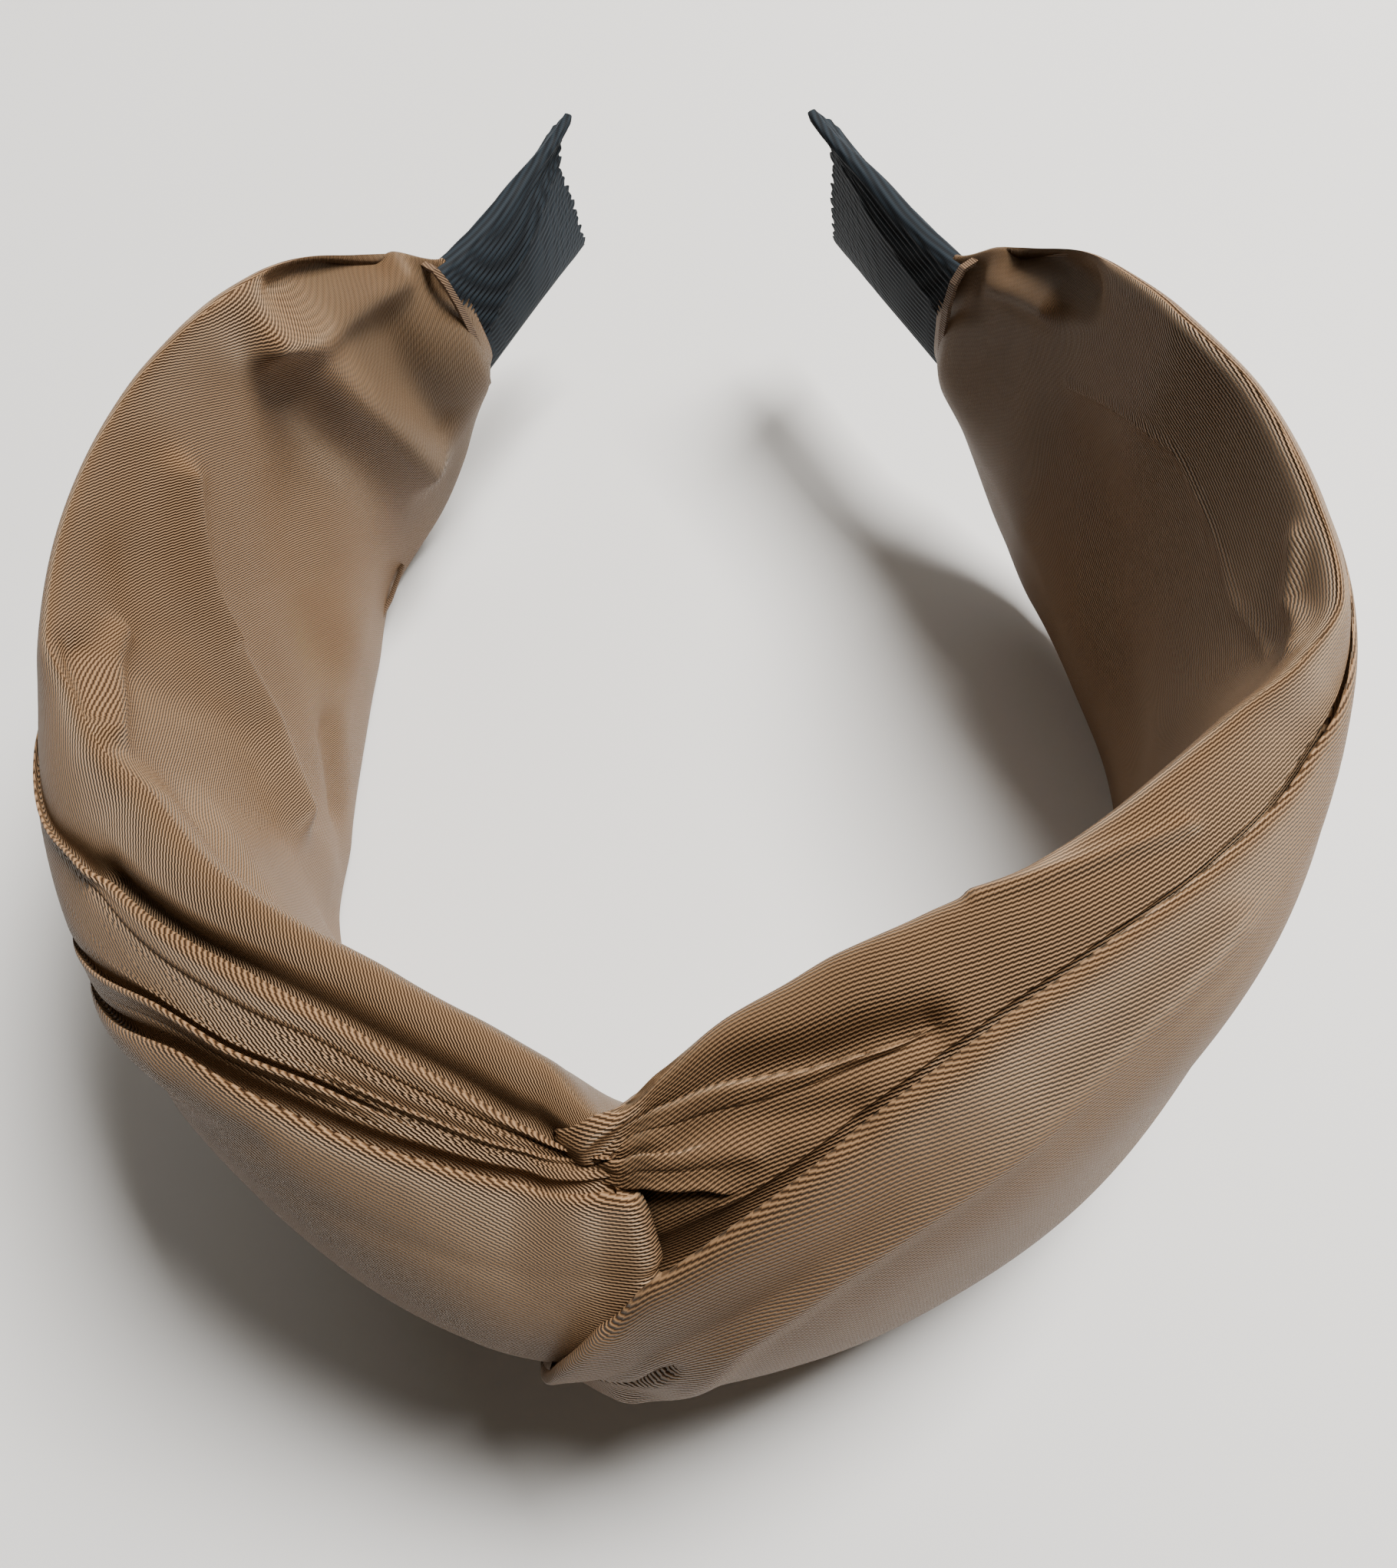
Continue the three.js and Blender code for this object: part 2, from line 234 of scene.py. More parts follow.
class Fold:
    """A fold runs along path, (t, distance round the outline) keys. It goes depth under, and its
    edge stands lift proud, each as (t, mm) keys. A covered fold has the upper layer on top."""

    def __init__(self, path, depth, lift, covered=False):
        self.path, self.depth, self.lift, self.covered = path, depth, lift, covered

    def nodes(self, t, at, before, after):
        """The fold's nodes at each t: places round the outline and heights, (t, node) arrays."""
        shape = FOLD * [-1, -1, 1, 1] if self.covered else FOLD
        shape = shape[::-1] if self.covered else shape
        room = before if self.covered else after
        depth = np.minimum(curve(self.depth, t), DEEPEST * room)
        squeeze_before = np.minimum(1, TAKES * before / -shape[0, 0])
        squeeze_after = np.minimum(1, TAKES * after / shape[-1, 0])
        squeeze = np.where(shape[:, 0] < 0, squeeze_before[:, None], squeeze_after[:, None])
        where = at[:, None] + shape[:, 0] * squeeze + shape[:, 1] * depth[:, None]
        sunk = shape[:, 2] * np.minimum(1, depth / 2)[:, None]
        return where, sunk + shape[:, 3] * curve(self.lift, t)[:, None]


def fold_places(folds, t, length):
    """Where each fold runs at each t, kept in order round the outline."""
    at = [curve(f.path, t) for f in folds]
    for j in range(len(at) - 2, -1, -1):
        room = at[j + 1] - CLOSE - at[j]
        at[j] = at[j + 1] - CLOSE - (room + np.hypot(room, 1)) / 2
    return [np.zeros_like(t), *at, length]


def shares(count):
    """Evenly spaced shares between 0 and 1, without the two ends."""
    return np.arange(1, count + 1) / (count + 1)


def folded(folds, layers, t, length):
    """The nodes of the folded outlines: place, height, (t, node) arrays, and layer, (node)."""
    at = fold_places(folds, t, length)
    lifts = [curve(keys, t)[:, None] for keys in layers["lift"]]
    cross = smooth(np.linspace(-0.5, 1.5, len(FOLD)))
    where, high, layer = [at[0][:, None]], [lifts[0]], [np.zeros(1)]
    for j, fold in enumerate(folds):
        bent, rise = fold.nodes(t, at[j + 1], at[j + 1] - at[j], at[j + 2] - at[j + 1])
        start, share = where[-1][:, -1:], shares(layers["nodes"][j])
        where += [start + (bent[:, :1] - start) * share, bent]
        high += [lifts[j] + 0 * share, rise + lifts[j] + (lifts[j + 1] - lifts[j]) * cross]
        layer += [j + share, j + 1 + np.linspace(-0.02, 0.02, len(FOLD))]
    start, share = where[-1][:, -1:], shares(layers["nodes"][-1])
    close = smooth((share - 0.75) / 0.25)
    where += [start + (length[:, None] - start) * share, length[:, None]]
    high += [lifts[-1] + (lifts[0] - lifts[-1]) * close, lifts[0]]
    layer += [len(folds) + share, np.array([len(folds) + 1.0])]
    return np.concatenate(where, 1), np.concatenate(high, 1), np.concatenate(layer)


def finer(nodes):
    """A smooth line through each row of nodes, with FINE points to each."""
    padded = np.concatenate([nodes[:, :1], nodes, nodes[:, -1:]], 1)
    p0, p1, p2, p3 = (padded[:, i : i + nodes.shape[1] - 1, None] for i in range(4))
    t = np.arange(FINE) / FINE
    line = p1 + 0.5 * t * (p2 - p0 + t * (2 * p0 - 5 * p1 + 4 * p2 - p3
                                         + t * (3 * (p1 - p2) + p3 - p0)))
    return np.concatenate([line.reshape(len(nodes), -1), nodes[:, -1:]], 1)


def creases(marks, t, place_on):
    """How far the creases raise each point: (line of (t, place) points, width, mm up, sharp)."""
    height = np.zeros_like(place_on)
    for line, width, up, sharp in marks:
        nearest = np.full(height.shape, 1e9)
        for (t0, p0), (t1, p1) in zip(line, line[1:]):
            run = (t1 - t0) ** 2 + (p1 - p0) ** 2
            share = ((t - t0) * (t1 - t0) + (place_on - p0) * (p1 - p0)) / run
            share = np.clip(share, 0, 1)
            gap = np.hypot(t - t0 - share * (t1 - t0), place_on - p0 - share * (p1 - p0))
            nearest = np.minimum(nearest, gap)
        height += up * np.exp(-((nearest / width) ** (1.1 if sharp else 2)))
    return height


def on_outline(line, where):
    """Points and outward normals at the distances where round each outline, and how far round
    the lowest point of each outline lies."""
    points, normals = np.empty((*where.shape, 2)), np.empty((*where.shape, 2))
    bottom = np.empty((len(line), 1))
    for k, row in enumerate(line):
        run = np.concatenate([[0], np.cumsum(np.linalg.norm(np.diff(row, axis=0), axis=1))])
        slope = np.gradient(row, run, axis=0)
        slope /= np.linalg.norm(slope, axis=1, keepdims=True)
        for c in (0, 1):
            points[k, :, c] = np.interp(where[k], run, row[:, c])
        normals[k, :, 0] = -np.interp(where[k], run, slope[:, 1])
        normals[k, :, 1] = np.interp(where[k], run, slope[:, 0])
        bottom[k] = run[LOWEST * SPAN]
    return points, normals, bottom


def lengths(line):
    """How far it is round each outline."""
    return np.linalg.norm(np.diff(line, axis=1), axis=2).sum(1)


# ---------------------------------------------------------------- meshes


def corners(grid):
    """What a grid holds at the four corners of each of its faces."""
    return np.stack([grid[:-1, :-1], grid[:-1, 1:], grid[1:, 1:], grid[1:, :-1]], 2)


def tube_object(name, points, uv, look):
    """A tube of points as a smooth mesh, whose last column joins its first."""
    rows, cols = points.shape[:2]
    number = np.arange(rows * cols).reshape(rows, cols)
    faces = corners(np.concatenate([number, number[:, :1]], 1)).reshape(-1, 4)
    mesh = bpy.data.meshes.new(name)
    mesh.from_pydata(points.reshape(-1, 3), [], faces.tolist())
    layer = mesh.uv_layers.new(name="cloth")
    layer.data.foreach_set("uv", uv.astype(np.float32).reshape(-1))
    work = bmesh.new()
    work.from_mesh(mesh)
    bmesh.ops.recalc_face_normals(work, faces=work.faces)
    work.to_mesh(mesh)
    work.free()
    mesh.shade_smooth()
    mesh.materials.append(look)
    piece = bpy.data.objects.new(name, mesh)
    bpy.context.scene.collection.objects.link(piece)
    return piece


def tube_uv(points, along):
    """Cloth coordinates in millimetres: along the tube, and round it from its first column."""
    ring = np.concatenate([points, points[:, :1]], 1)
    step = np.linalg.norm(np.diff(ring, axis=1), axis=2) * 1000
    along = np.concatenate([along, along[:, :1]], 1)
    round_it = np.concatenate([np.zeros((len(points), 1)), np.cumsum(step, 1)], 1)
    return corners(np.stack([along, round_it], -1))


# ---------------------------------------------------------------- satin

COLUMN = 0.5  # mm between columns of cloth
BLEND_T = 16.0  # the knot's layers end at different places, worked out within this distance
REACH = -14.0  # the columns run this far over the crown before they are drawn to the layers' ends
TUCK = np.array([1.4, 0.9, 0.4])  # columns that turn back under each end, in radii of its roundness
GROUND = 0.3  # mm above the floor, below which no satin goes
LAY_RUN = 90.0  # beyond this the weave runs straight along the tube


def sample(grid, row):
    """Values of the grid at fractional rows, column by column."""
    row = np.clip(row, 0, len(grid) - 1.001)
    low = row.astype(int)
    part = (row - low)[..., None]
    cols = np.arange(grid.shape[1])[None]
    return grid[low, cols] * (1 - part) + grid[low + 1, cols] * part


def relief(outer_marks, inner_marks, t, where, base, bottom):
    """The creases' heights: the outer ones down to the bottom, and the inner ones from there."""
    fade = smooth((bottom + 6 - where) / 12)
    outer = creases(outer_marks, t, where)
    inner = creases(inner_marks, t, base[..., 1])
    return outer * fade + inner * (1 - fade)


def drawn_to_knot(layers, layer, t):
    """How far along the hoop each point lies, where its layer ends, and how round that end is."""
    ends = np.interp(layer, *np.array(layers["ends"]).T)
    radius = np.interp(layer, *np.array(layers["end_round"]).T)
    along = np.repeat(t, len(layer), 1)
    near = t[:, 0] < BLEND_T
    share = (BLEND_T - t[near]) / (BLEND_T - REACH)
    along[near] = BLEND_T + (ends - BLEND_T) * share
    return np.concatenate([ends + TUCK[:, None] * radius, along]), ends, radius


def rounded_ends(along, ends, radius):
    """How far each point sinks where the layers turn in at their ends."""
    gap = np.clip(1 - (along - ends) / radius, 0, 1)
    dip = radius * (1 - np.sqrt(1 - gap**2))
    dip[: len(TUCK)] = radius
    return dip


def off_ground(section):
    return np.stack([section[..., 0], np.maximum(section[..., 1], GROUND)], -1)


def weave(side, layers, layer, along, where, inside):
    """Cloth coordinates in millimetres, at the faces' corners. On the outside the weave of each
    layer lies askew by its own amount, and inside the whole tube follows the first layer."""
    own_lay = np.array(layers["lay"])[np.round(layer - 0.5).astype(int) % len(layers["lay"])]
    lay = np.where(inside, layers["lay"][0], own_lay)[:-1, :-1, None]
    slid = np.where(inside, along, along / (1 + (along / LAY_RUN) ** 4) ** 0.25)
    return np.stack([corners(side * along), corners(where) - side * lay * corners(slid)], -1)


def satin(hand, folds, layers, outer_marks, inner_marks, look):
    """One side's tube of satin, from its end in the knot to its neck at the ribbon."""
    side = SIDES[hand]
    t = np.arange(REACH, NECK_S + 0.6, COLUMN)
    line = outline(hand, t)
    nodes, heights, layer = folded(folds, layers, t, lengths(line))
    where, high, layer = finer(nodes), finer(heights), finer(layer[None])[0]
    base, normal, bottom = on_outline(line, where)
    high = high + relief(outer_marks, inner_marks, t[:, None], where, base, bottom)
    section = off_ground(base + normal * high[..., None])
    along, ends, radius = drawn_to_knot(layers, layer, t[:, None])
    row = (along - REACH) / COLUMN
    dip = rounded_ends(along, ends, radius)[..., None]
    section = off_ground(sample(section, row) - sample(normal, row) * dip)
    points = place(side * along, section[..., 0], section[..., 1])[:, :-1]
    inside = sample((where >= bottom)[..., None], row)[..., 0] > 0.5
    where = sample(where[..., None], row)[..., 0]
    uv = weave(side, layers, layer, along, where, inside)
    piece = tube_object(f"{hand}_satin", points, uv, look)
    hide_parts(f"{hand}_wrap", f"{hand}_sleeve")
    return piece


def bend_with_arm(piece, hand):
    """Bakes the cloth's placement into its mesh. The flex line's place on this side is worked out
    but not used.
    """
    s = SIDES[hand] * FLEX_S
    at, along, _ = hoop_frame(np.array(s))
    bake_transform(piece)


# Each side's folds run from the top edge down the outside, with a layer before each and one
# after the last. "nodes" counts the nodes of each layer, and "lift" says how far it stands out,
# as (distance from the crown, mm) keys. "ends" is where the layers stop at the knot, and
# "end_round" how round they end there, as (layer, mm) keys. "lay" is how far each layer's weave
# moves round the tube for each millimetre along it.

LEFT_FOLDS = [
    Fold([(0, 6), (9, 7.4), (20, 7.1), (35, 7.4), (44, 8.6), (58, 12), (76, 17)],
         [(0, 4), (50, 5), (75, 2), (90, 0)], [(-4, 0.4), (8, 1.1), (40, 1.1), (60, 0.5), (92, 0)]),
    Fold([(-2, 6), (1, 6.4), (4, 7.5), (7, 9.2), (14, 10.5), (28, 12), (40, 14)],
         [(0, 0.6), (22, 0.8), (30, 0)], [(0, 0.2), (6, 0.4), (20, 0.4), (31, 0)]),
    Fold([(0, 6.6), (7, 9.9), (14, 11.9), (24, 12.7), (34, 14.4), (42, 15.5), (52, 21), (64, 28)],
         [(16, 0), (26, 1.4), (44, 2), (60, 0)], [(16, 0), (28, 0.7), (46, 0.3), (62, 0)]),
    Fold([(-3, 7.2), (0, 6.7), (3, 8.2), (6, 10.5), (15, 13.6), (26, 15.8), (38, 17.6),
          (50, 25), (64, 33)],
         [(0, 1.4), (36, 3), (60, 0)], [(-5, 0.4), (4, 0.7), (28, 1.0), (44, 0.4), (62, 0)]),
]
LEFT_LAYERS = {
    "nodes": [6, 2, 2, 3, 60],
    "lift": [[(-6, -2.5), (6, 0)], [(-6, 0), (20, 0)], [(-6, 0), (20, 0)], [(-6, 0), (20, 0)],
             [(-12, -1.5), (-5, 0.6), (20, 0.8), (50, 0)]],
    "ends": [(0, -1), (0.98, 0), (1.02, -0.5), (2, -0.8), (3, -1), (3.98, -1.2), (4.0, -1.5),
             (4.02, -4), (4.05, -8), (4.08, -11), (4.12, -12), (4.5, -11), (4.6, -3), (5, -1)],
    "end_round": [(0, 2), (0.98, 2), (1.02, 0.8), (3.98, 0.8), (4.02, 2), (4.06, 3.5),
                  (4.2, 4), (4.5, 3), (4.6, 1), (5, 2)],
    "lay": [0.93, 0.5, 0.4, 0.3, 0.1],
}
RIGHT_FOLDS = [
    Fold([(-3, 5), (-1, 3), (1, 1.6), (3, 2.8), (8, 5.1), (14, 7.6), (22, 9.8), (32, 11.6)],
         [(0, 2), (20, 3), (33, 0)], [(-2, 0.3), (10, 1), (24, 1), (36, 0)]),
    Fold([(-2, 6.2), (0, 4.9), (2, 5.5), (4, 7.3), (7, 9.4), (14, 12)],
         [(0, 1), (4, 0.6), (8, 0)], [(0, 0.2), (4, 0.4), (10, 0)]),
    Fold([(-1, 7.7), (0, 7.6), (2, 8.8), (4, 10.9), (8, 14.1), (11, 16.8)],
         [(0, 1), (6, 2), (12, 0)], [(0, 0.2), (8, 0.4), (14, 0)], covered=True),
    Fold([(-8.5, 40), (-6.5, 35.5), (-4.5, 29), (-2.5, 24.5), (0, 20), (3, 18), (10, 17.8),
          (20, 15.6), (30, 13.3), (40, 11.1), (52, 9.6), (68, 9.8), (80, 8.2), (110, 7)],
         [(-9, 3), (0, 5), (60, 5), (90, 1.5), (110, 0)],
         [(-9, 0.8), (0, 1.6), (30, 1.6), (70, 1), (112, 0)]),
]
RIGHT_LAYERS = {
    "nodes": [5, 3, 3, 4, 60],
    "lift": [[(-6, -1.2), (-2, 0.6), (8, 0.2), (20, 0)], [(-4, -2), (4, -0.3), (14, 0)],
             [(-4, -2.2), (4, -0.3), (14, 0)], [(0, -2.6), (4, -1.4), (12, 0)],
             [(-9, 1.8), (10, 2.4), (30, 1.2), (60, 0)]],
    "ends": [(0, -1.5), (0.98, -6), (1.02, -5), (2.98, -4), (3.02, -4), (3.98, -4),
             (4.01, -7.5), (4.06, -7.6), (4.14, -8), (4.2, -7), (4.3, -4.5), (4.45, -4),
             (4.6, -3), (5, 0)],
    "end_round": [(0, 1.2), (2.98, 1.2), (3.98, 2), (4.01, 1.2), (4.06, 1.2), (4.2, 2), (4.4, 3),
                  (4.6, 1), (5, 1.2)],
    "lay": [0.08, 0.08, 0.08, 0.08, 0.15],
}

# Creases: (line, width, mm up, sharp). Outside, a line's points are (distance from the crown,
# distance round the outline), and inside they are (distance from the crown, height).
LEFT_OUTER = [
    ([(-6, 4.3), (0, 5.1), (9, 6.5), (20, 6.2), (35, 6.5), (48, 8.5), (54, 10)], 1.9, -1.7, False),
    ([(3, 12), (8, 22), (10, 36)], 4.0, 0.5, False),
    ([(40, 22), (52, 29), (60, 36)], 2.4, 0.6, False),
    ([(30, 22), (46, 33), (56, 44)], 2.2, -0.5, False),
]
LEFT_INNER = [
    ([(148, 49), (142, 51.5), (135, 54), (125, 60)], 2.2, 1.7, False),
    ([(147, 54), (141, 57.5), (135, 61), (131, 63)], 2.4, -2.3, False),
    ([(126, 60), (129, 54), (131, 45), (134, 34), (136, 24)], 4.5, 3.2, False),
    ([(142, 46), (141, 38), (142, 28)], 3.2, -1.3, False),
    ([(123, 55), (119, 45), (110, 38), (100, 26)], 6.5, -1.5, False),
    ([(104, 59), (99, 56), (93, 52), (88, 47), (81, 39), (70, 32)], 3.2, 3.2, False),
    ([(104, 59), (99, 56), (93, 52), (88, 47)], 0.9, 0.9, True),
    ([(83, 61), (77, 63), (68, 67)], 1.6, 1.8, False),
    ([(79, 66.5), (71, 68)], 1.6, -1.4, False),
    ([(92, 61), (86, 57)], 3.2, -0.9, False),
    ([(60, 59), (50, 60)], 4.0, -1.8, False),
    ([(88, 20), (80, 14)], 4.0, -1.6, False),
]
RIGHT_OUTER = [
    ([(3, 42), (9, 33), (18, 28), (35, 23), (47, 18.5), (58, 16)], 2.4, 0.9, False),
    ([(-11, 45), (-8, 43.5), (-6, 40.5), (-4, 37), (-2, 35.5), (0, 35), (3, 32.5)],
     1.0, -3.0, False),
    ([(-10, 49), (-5, 46.5), (-1, 42.5)], 2.6, 2.4, False),
    ([(3, 2), (8, 4), (14, 6.4), (22, 8.6), (31, 10.2)], 2.2, -1.8, False),
    ([(42, 0.5), (50, 2), (56, 3.5), (62, 5.4)], 1.0, 0.6, False),
    ([(0, 5.6), (4, 8.5), (8, 11.1), (13, 14)], 1.0, 0.5, False),
    ([(6, 7.6), (12, 10.2), (22, 14)], 1.6, -0.6, False),
]
RIGHT_INNER = [
    ([(148, 48), (144, 50.5), (139, 53)], 2.0, 1.6, False),
    ([(147, 53), (142, 56.5), (134, 60)], 2.4, -2.3, False),
    ([(132, 47), (123, 52), (114, 55.5), (104, 55), (94, 55), (86, 60)], 0.7, 0.35, False),
    ([(95, 66), (90, 63), (84, 66)], 1.2, 0.8, False),
    ([(126, 40), (110, 30), (90, 26)], 7.0, -0.8, False),
]


# ---------------------------------------------------------------- materials


def new_material(name, **sockets):
    """A material, its tree and its shader, with the shader's sockets set."""
    made = bpy.data.materials.new(name)
    made.use_nodes = True
    tree = made.node_tree
    shader = tree.nodes["Principled BSDF"]
    for socket, value in sockets.items():
        shader.inputs[socket.replace("_", " ")].default_value = value
    return made, tree, shader


def link(tree, source, target):
    tree.links.new(source, target)


def math_node(tree, operation, *values):
    node = tree.nodes.new("ShaderNodeMath")
    node.operation = operation
    for socket, value in zip(node.inputs, values):
        if isinstance(value, (int, float)):
            socket.default_value = value
        else:
            link(tree, value, socket)
    return node.outputs[0]


def ramp(tree, value, *stops):
    node = tree.nodes.new("ShaderNodeValToRGB")
    for _ in stops[2:]:
        node.color_ramp.elements.new(0.5)
    for element, (at, colour) in zip(node.color_ramp.elements, stops):
        element.position = at
        element.color = (*colour, 1)
    link(tree, value, node.inputs[0])
    return node.outputs["Color"]


def noise(tree, scale, detail=2.0, vector=None):
    node = tree.nodes.new("ShaderNodeTexNoise")
    node.inputs["Scale"].default_value = scale
    node.inputs["Detail"].default_value = detail
    if vector is not None:
        link(tree, vector, node.inputs["Vector"])
    return node.outputs["Fac"]


def bump(tree, height, shader, distance, strength=1.0):
    node = tree.nodes.new("ShaderNodeBump")
    node.inputs["Distance"].default_value = distance
    node.inputs["Strength"].default_value = strength
    link(tree, height, node.inputs["Height"])
    link(tree, node.outputs["Normal"], shader.inputs["Normal"])


def multiplied(tree, a, b):
    """One colour times another."""
    node = tree.nodes.new("ShaderNodeMix")
    node.data_type = "RGBA"
    node.blend_type = "MULTIPLY"
    node.inputs[0].default_value = 1.0
    link(tree, a, node.inputs[6])
    link(tree, b, node.inputs[7])
    return node.outputs[2]


def object_axes(tree):
    return tree.nodes.new("ShaderNodeTexCoord").outputs["Object"]


TWILL_PITCH = 0.40  # mm between rows
TWILL_FLOAT = 0.6  # mm along a row from one float to the next
ASKEW = 0.22  # how far each float slants across its row, in rows
YARN = 0.32  # mm between the yarns of the grosgrain
RIB = 0.95  # mm from one rib of the grosgrain to the next


def cloth_axes(tree):
    """The cloth's coordinates: along the tube, round it, and both together."""
    uv = tree.nodes.new("ShaderNodeUVMap")
    uv.uv_map = "cloth"
    split = tree.nodes.new("ShaderNodeSeparateXYZ")
    link(tree, uv.outputs[0], split.inputs[0])
    return split.outputs[0], split.outputs[1], uv.outputs[0]


def wave(tree, turns):
    """A smooth wave from 0 to 1, once a turn."""
    swing = math_node(tree, "SINE", math_node(tree, "MULTIPLY", turns, 2 * math.pi))
    return math_node(tree, "MULTIPLY_ADD", swing, 0.5, 0.5)


def satin_material():
    """Satin twill: rows with painted shade in the gaps between them and painted light on their
    crests, each row made of short, slightly askew floats.
    """
    made, tree, shader = new_material(
        "satin", Roughness=0.47, Specular_IOR_Level=0.42, Sheen_Weight=0.05, Sheen_Roughness=0.4,
        Anisotropic=0.3)
    shader.inputs["Sheen Tint"].default_value = (1.0, 0.80, 0.55, 1)
    shader.inputs["Specular Tint"].default_value = (1.0, 0.82, 0.60, 1)
    u, v, cloth = cloth_axes(tree)
    rows = math_node(tree, "MULTIPLY", v, 1 / TWILL_PITCH)
    half_rows = math_node(tree, "MULTIPLY", rows, 0.5)
    floats = math_node(tree, "MULTIPLY_ADD", u, 1 / TWILL_FLOAT, half_rows)
    askew = math_node(tree, "MULTIPLY", math_node(tree, "FRACT", floats), ASKEW)
    drift = math_node(tree, "MULTIPLY", noise(tree, 0.2, 1, cloth), 0.6)
    across = math_node(tree, "ADD", rows, math_node(tree, "ADD", askew, drift))
    place_in_row = math_node(tree, "MULTIPLY_ADD", math_node(tree, "FRACT", across), 2, -1)
    gap = math_node(tree, "POWER", math_node(tree, "ABSOLUTE", place_in_row), 1.5)
    height = math_node(tree, "SUBTRACT", 1.0, gap)
    # The row height sets the colour: painted shade in the gaps between rows, painted light on the
    # rows' crests.
    colour = ramp(tree, height, (0.1, (0.020, 0.008, 0.003)), (0.5, (0.105, 0.055, 0.025)),
                  (0.95, (0.27, 0.160, 0.083)))
    cloudy = ramp(tree, noise(tree, 0.08, 3, cloth), (0.3, (0.90, 0.89, 0.88)), (0.7, (1, 1, 1)))
    link(tree, multiplied(tree, colour, cloudy), shader.inputs["Base Color"])
    bump(tree, height, shader, 0.00018, 1.0)
    return made


def grosgrain_material():
    """Corded ribbon: ribs along it, crossed by finer yarns."""
    made, tree, shader = new_material(
        "grosgrain", Roughness=0.75, Specular_IOR_Level=0.2, Sheen_Weight=0.05,
        Sheen_Roughness=0.5)
    shader.inputs["Sheen Tint"].default_value = (0.55, 0.68, 0.85, 1)
    u, v, _ = cloth_axes(tree)
    rib = wave(tree, math_node(tree, "MULTIPLY", v, 1 / RIB))
    yarn = wave(tree, math_node(tree, "MULTIPLY", u, 1 / YARN))
    height = math_node(tree, "MULTIPLY_ADD", yarn, 0.25, math_node(tree, "MULTIPLY", rib, 0.75))
    # The rib and yarn height sets the colour: painted shade in the grooves, painted light on the
    # raised cords.
    colour = ramp(tree, height, (0.1, (0.0015, 0.0025, 0.004)), (0.9, (0.010, 0.016, 0.022)))
    link(tree, colour, shader.inputs["Base Color"])
    bump(tree, height, shader, 0.0001, 0.5)
    return made


def thread_material():
    made, tree, shader = new_material(
        "thread", Roughness=0.6, Sheen_Weight=0.1, Specular_IOR_Level=0.3)
    ply = tree.nodes.new("ShaderNodeTexWave")
    ply.inputs["Scale"].default_value = 1400
    ply.bands_direction = "DIAGONAL"
    link(tree, object_axes(tree), ply.inputs["Vector"])
    # The ply bands set the colour: painted shade in the grooves between plies, painted light on the
    # raised plies.
    colour = ramp(tree, ply.outputs["Fac"], (0, (0.060, 0.032, 0.015)), (1, (0.16, 0.095, 0.050)))
    link(tree, colour, shader.inputs["Base Color"])
    bump(tree, ply.outputs["Fac"], shader, 0.0001)
    return made


def wadding_material():
    made, tree, shader = new_material("wadding", Roughness=0.95, Sheen_Weight=0.5)
    fluff = noise(tree, 900, 6, object_axes(tree))
    link(tree, ramp(tree, fluff, (0.3, (0.68, 0.65, 0.58)), (0.7, (0.86, 0.83, 0.77))),
         shader.inputs["Base Color"])
    bump(tree, fluff, shader, 0.0004)
    return made


def plastic_material():
    made, tree, shader = new_material("hoop_plastic", Roughness=0.5, Specular_IOR_Level=0.5)
    grain = noise(tree, 2500, 3, object_axes(tree))
    link(tree, ramp(tree, grain, (0.3, (0.022, 0.02, 0.018)), (0.7, (0.034, 0.031, 0.028))),
         shader.inputs["Base Color"])
    bump(tree, grain, shader, 0.00003)
    return made


# ---------------------------------------------------------------- ribbon, wadding

RIBBON_HALF = 11.4  # mm from the ribbon's middle to its top and bottom edges
RIBBON_THICK = 2.2  # mm from the hoop's middle to the ribbon's surface
PLY = 0.35  # mm that a second ply adds
PICOT = 1.7  # mm between the loops on the ribbon's cut edge
LAP = {"left": (0.55, -0.5), "right": (0.75, 0.1)}  # where the inner lap ends, at the tip and neck


def lapped_over(hand, row, up, out):
    """1 where the second ply lies over the first on the inner side, and 0 elsewhere."""
    at_tip, at_neck = LAP[hand]
    lap = at_neck + (at_tip - at_neck) * row**0.7
    return smooth((up - lap) / 0.03 + 0.5) * (out < 0)


def cut_edge(z, up):
    """How far the cut edge stands beyond the ribbon's length: picot loops, the horn at the top,
    a lower corner, and a hollow between them."""
    picot = 0.55 * np.abs(np.sin(math.pi * z / PICOT)) + 0.2 * np.sin(2.3 * z)
    horn = 3.4 * smooth((up - 0.45) / 0.55) ** 2
    corner = 0.8 * smooth((-up - 0.5) / 0.5)
    hollow = 0.8 * np.exp(-(((up - 0.35) / 0.3) ** 2))
    return horn + corner - hollow + picot


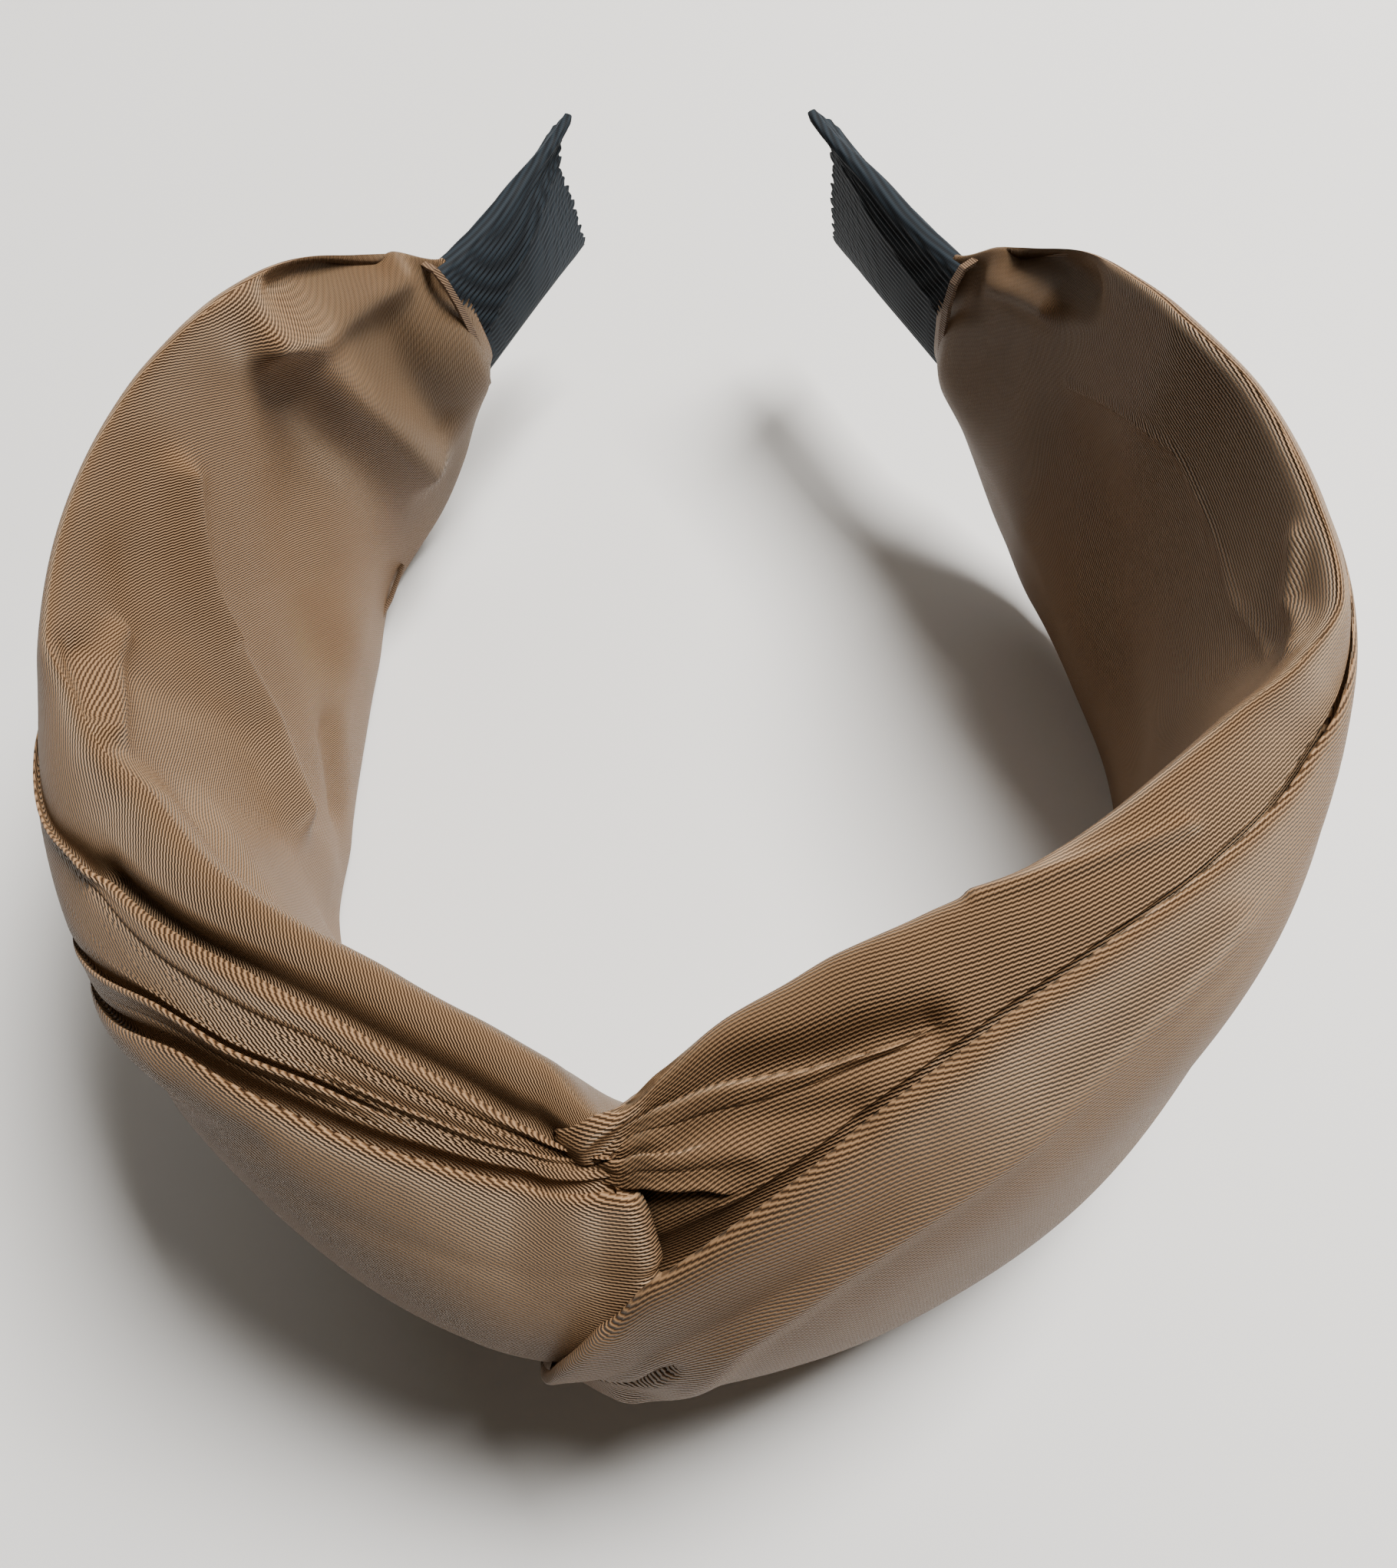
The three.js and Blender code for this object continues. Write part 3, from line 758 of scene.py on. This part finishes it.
def ribbon(hand, look):
    """The grosgrain wrapped round the hoop's end. Its top corner runs out to a point, its cut
    edge has picot loops, and on the inner side one ply laps over the other."""
    side = SIDES[hand]
    start, end = NECK_S - 1.5, TIP_S + 0.8
    row = np.linspace(0, 1, 90)[:, None]
    around = np.linspace(0, 2 * math.pi, 600, endpoint=False)[None]
    up, out = np.sin(around), np.cos(around)
    flare = smooth((row - 0.5) / 0.5)
    half = RIBBON_HALF * (1 - 0.10 * np.sin(math.pi * row) + 0.04 * flare)
    z = MID_Z + half * up
    lapped = lapped_over(hand, row, up, out)
    edge = np.abs(out) ** 0.55 * np.sign(out)
    ribs = 0.16 * np.sin(2 * math.pi * (z - 3 * row) / RIB) * np.abs(out) ** 0.3
    ribs = ribs * (0.25 + 0.75 * np.maximum(lapped, out > 0))
    n = edge * (RIBBON_THICK - 0.8 * flare + PLY * lapped + ribs)
    n = n - 1.6 * flare * smooth((up - 0.75) / 0.25)
    t = start + (end - start + cut_edge(z, up)) * row
    z = z - 0.5 * smooth((up - 0.6) / 0.4) * flare
    points = place(side * t, n, z)
    piece = tube_object(f"{hand}_ribbon", points, tube_uv(points, side * t), look)
    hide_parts(f"{hand}_end_ribbon")
    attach(piece, f"{hand}_arm")


DRAWN_IN = (0, -0.0026, -0.003)  # metres from the tack thread to the satin's inner side


def tack_stitches(look):
    """The stitches behind the knot, drawn in until they lie against the satin."""
    node = frame["nodes"]["knot_tack_thread"]
    mesh = node.data.copy()
    mesh.transform(Matrix.Translation(DRAWN_IN))
    mesh.materials[0] = look
    piece = bpy.data.objects.new("tack_stitches", mesh)
    piece.matrix_world = node.matrix_world
    bpy.context.scene.collection.objects.link(piece)
    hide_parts("knot_tack_thread")
    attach(piece, "crown")


def crown_pad(look):
    """The wadding between the hoop and the knot: a soft pad with rounded edges."""
    reach = FLEX_S - 6
    s = np.linspace(-reach, reach, 120)[:, None]
    around = np.linspace(0, 2 * math.pi, 96, endpoint=False)[None]
    up, out = np.sin(around), np.cos(around)
    end = smooth((reach - np.abs(s)) / 10)
    lumps = 0.25 * np.sin(0.9 * s + 3 * around) * np.sin(0.5 * s)
    z = MID_Z + (10.6 * end**0.3 + lumps) * np.sign(up) * np.abs(up) ** 0.6
    deep = 1.0 + 3.6 * end
    n = 1.6 + deep + (deep + lumps) * np.sign(out) * np.abs(out) ** 0.6
    points = place(s + 0 * z, n, z)
    piece = tube_object("crown_pad", points, tube_uv(points, s + 0 * z), look)
    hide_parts("crown_wadding")
    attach(piece, "crown")


# ---------------------------------------------------------------- camera, light, floor

CAMERA_AT = Vector((0.02864, -0.07470, 0.19215))
CAMERA_DOWN = math.radians(67.1)
CAMERA_TURN = math.radians(-23.6)
CAMERA_ROLL = math.radians(-18.9)
SENSOR = 36.0
FOCAL = 32.4


def camera():
    level = math.cos(CAMERA_DOWN)
    ahead = Vector((math.sin(CAMERA_TURN) * level, math.cos(CAMERA_TURN) * level,
                    -math.sin(CAMERA_DOWN)))
    right = ahead.cross(Vector((0, 0, 1))).normalized()
    up = right.cross(ahead)
    cos, sin = math.cos(CAMERA_ROLL), math.sin(CAMERA_ROLL)
    right, up = right * cos + up * sin, up * cos - right * sin
    data = bpy.data.cameras.new("camera")
    data.sensor_fit = "VERTICAL"
    data.sensor_height = SENSOR
    data.lens = FOCAL
    data.clip_start = 0.005
    made = bpy.data.objects.new("camera", data)
    made.matrix_world = Matrix((right, up, -ahead)).transposed().to_4x4()
    made.matrix_world.translation = CAMERA_AT
    bpy.context.scene.collection.objects.link(made)
    bpy.context.scene.camera = made


def area_light(name, at, size, watts, colour):
    data = bpy.data.lights.new(name, "AREA")
    data.shape = "RECTANGLE"
    data.size, data.size_y = size
    data.energy = watts
    data.color = colour
    made = bpy.data.objects.new(name, data)
    made.location = at
    made.rotation_euler = (Vector((0, 0, 0.03)) - Vector(at)).to_track_quat("-Z", "Y").to_euler()
    bpy.context.scene.collection.objects.link(made)


def lights():
    area_light("window", (0.44, 0.40, 0.98), (0.42, 0.42), 40.0, (1.0, 0.98, 0.95))
    area_light("sky", (-0.2, 0.9, 0.7), (1.2, 0.6), 4.0, (1.0, 0.97, 0.93))
    world = bpy.data.worlds.new("studio")
    world.use_nodes = True
    world.node_tree.nodes["Background"].inputs[0].default_value = (0.95, 0.84, 0.70, 1)
    world.node_tree.nodes["Background"].inputs[1].default_value = 0.10
    bpy.context.scene.world = world


def floor():
    made, tree, shader = new_material("floor", Roughness=0.6, Specular_IOR_Level=0.3)
    tone = noise(tree, 3.0, 2, object_axes(tree))
    link(tree, ramp(tree, tone, (0.35, (0.66, 0.65, 0.635)), (0.65, (0.70, 0.695, 0.685))),
         shader.inputs["Base Color"])
    bpy.ops.mesh.primitive_plane_add(size=6)
    plane = bpy.context.object
    plane.name = "floor"
    plane.data.materials.append(made)


# ---------------------------------------------------------------- the scene

camera()
lights()
floor()
satin_look = satin_material()
grosgrain_look = grosgrain_material()
left = satin("left", LEFT_FOLDS, LEFT_LAYERS, LEFT_OUTER, LEFT_INNER, satin_look)
right = satin("right", RIGHT_FOLDS, RIGHT_LAYERS, RIGHT_OUTER, RIGHT_INNER, satin_look)
for hand, piece in (("left", left), ("right", right)):
    bend_with_arm(piece, hand)
    ribbon(hand, grosgrain_look)
crown_pad(wadding_material())
thread_look = thread_material()
tack_stitches(thread_look)
plastic_look = plastic_material()
for name, node in frame["nodes"].items():
    if "thread" in name:
        node.data.materials[0] = thread_look
    if "hoop" in name:
        node.data.materials[0] = plastic_look
